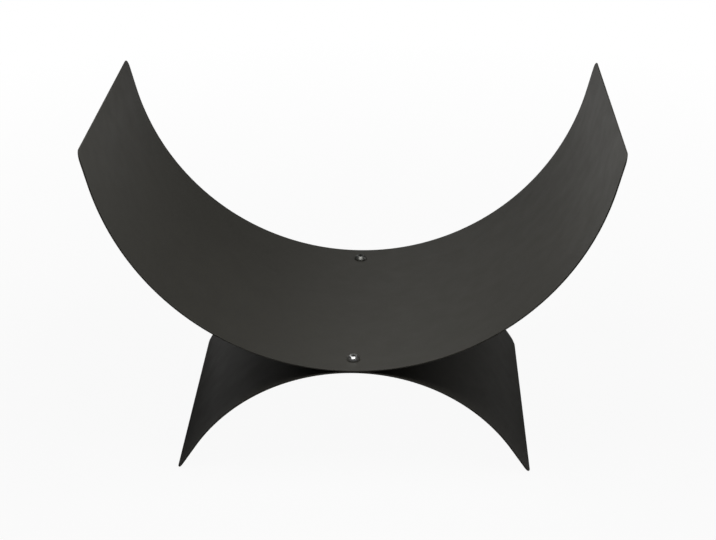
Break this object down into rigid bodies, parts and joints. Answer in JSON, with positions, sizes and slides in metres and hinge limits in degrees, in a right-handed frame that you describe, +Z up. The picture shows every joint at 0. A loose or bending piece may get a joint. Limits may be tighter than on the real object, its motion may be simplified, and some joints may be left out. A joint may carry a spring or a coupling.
{
  "type": "firewood stand",
  "caption": "Open firewood stand: a deep cradle of rolled sheet steel holds logs and is bolted along its lowest line to a smaller arched sheet base.",
  "frame": {"origin": "on the floor, in the middle of the stand's width and depth", "axes": "+X across the cradle from horn to horn, to the right seen from the front; +Y along the logs to the rear; +Z up"},
  "size_m": [0.5226, 0.3, 0.3494],
  "materials": {
    "powder_coat": "fine-texture anthracite powder coat, satin",
    "zinc_steel": "bright zinc plate",
    "nylon": "natural nylon, moulded"
  },
  "bodies": {
    "root": {"cradle_panel": "powder_coat", "base_panel": "powder_coat", "front_screw": "zinc_steel", "rear_screw": "zinc_steel", "front_washer": "zinc_steel", "rear_washer": "zinc_steel", "front_nut": "zinc_steel", "rear_nut": "zinc_steel", "front_nut_ring": "nylon", "rear_nut_ring": "nylon"}
  },
  "joints": []
}
